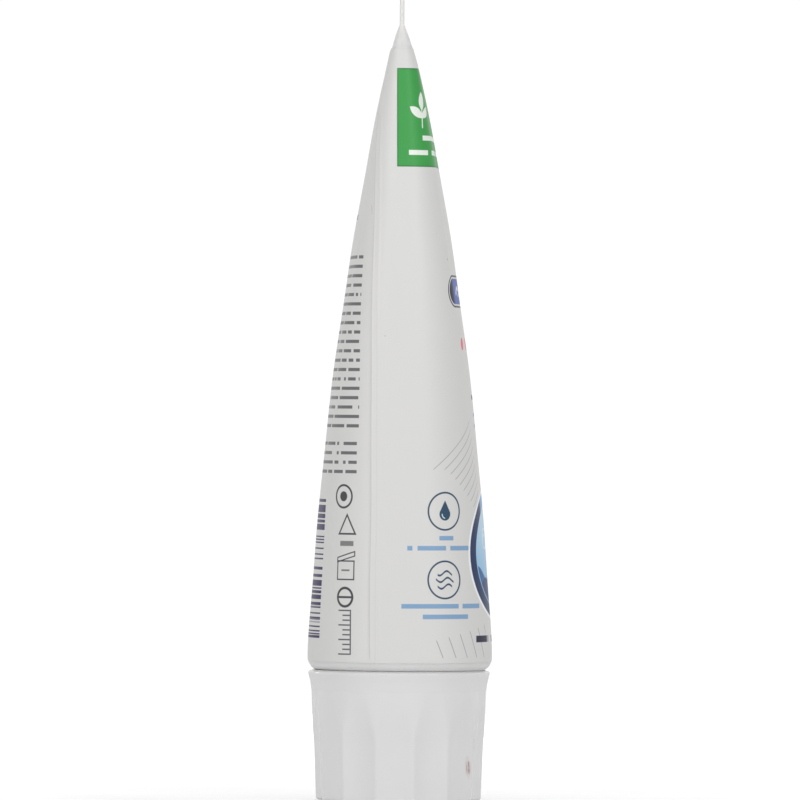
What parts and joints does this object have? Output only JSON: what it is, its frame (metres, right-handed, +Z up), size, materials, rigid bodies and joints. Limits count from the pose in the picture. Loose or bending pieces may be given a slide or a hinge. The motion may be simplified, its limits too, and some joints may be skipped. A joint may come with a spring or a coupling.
{
  "type": "toothpaste tube",
  "caption": "Full squeeze tube of toothpaste with a flat sealed tail and a wrap-around printed film, standing on a wide fluted screw cap that unscrews from its threaded nozzle.",
  "frame": {"origin": "centre of the cap's flat end, on the surface the tube stands on", "axes": "+Z up from the cap to the sealed tail, X across the width of the tail, Y through the thickness of the tube, front panel facing -Y"},
  "size_m": [0.0544, 0.0354, 0.1519],
  "materials": {
    "cap_plastic": "satin moulded white plastic",
    "head_plastic": "moulded natural white plastic",
    "foil": "heat-sealed foil membrane",
    "sleeve_plastic": "smooth white squeeze plastic",
    "printed_film": "glossy printed film",
    "paste": "smooth white paste"
  },
  "bodies": {
    "cap": {"screw_cap": "cap_plastic"},
    "seal": {"foil_seal": "foil"},
    "tube": {"tube_sleeve": "sleeve_plastic", "tube_head": "head_plastic", "wrap_label": "printed_film", "toothpaste": "paste"}
  },
  "joints": [
    {"name": "unscrew_lift", "type": "slide", "parent": "cap", "child": "seal", "axis": [0, 0, 1], "range_m": [0, 0.018]},
    {"name": "unscrew_turn", "type": "hinge", "parent": "seal", "child": "tube", "pos_m": [0, 0, 0.015], "axis": [0, 0, 1], "range_deg": [0, 2160]}
  ],
  "couplings": [
    {"joint": "unscrew_lift", "follows": "unscrew_turn", "m_per_rad": 0.00047746}
  ]
}
